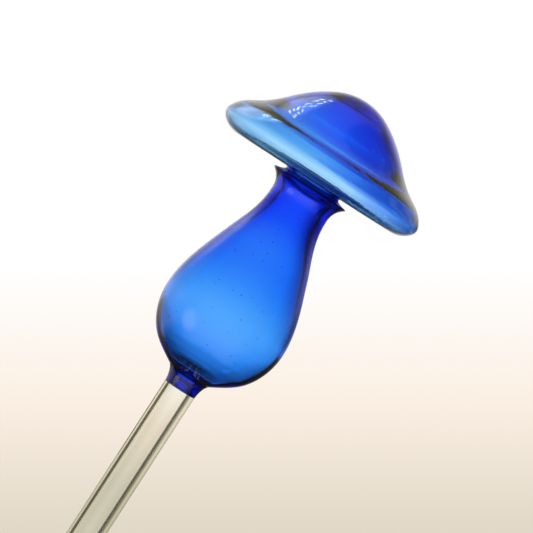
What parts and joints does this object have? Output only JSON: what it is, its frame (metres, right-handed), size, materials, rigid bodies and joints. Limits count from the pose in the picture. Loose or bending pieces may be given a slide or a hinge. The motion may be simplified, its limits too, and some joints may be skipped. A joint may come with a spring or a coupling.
{
  "type": "watering globe",
  "caption": "Mushroom-shaped blown-glass watering globe: hollow cap, pinched neck and pear-shaped reservoir on a clear open stem that is pushed into potting soil.",
  "frame": {"origin": "on the axis, at the seal where the clear stem meets the blue glass, which is where the soil comes to in use", "axes": "+Z along the axis, up from the stem to the top of the cap; the part is round about Z"},
  "size_m": [0.0654, 0.0654, 0.2389],
  "materials": {
    "blue_glass": "transparent cobalt-blue blown glass, fire-polished",
    "clear_glass": "transparent clear glass tube, fire-polished open end"
  },
  "bodies": {
    "root": {"mushroom_cap": "blue_glass", "neck_collar": "blue_glass", "reservoir_bulb": "blue_glass", "stem_seal": "blue_glass", "stem_tube": "clear_glass"}
  },
  "joints": []
}
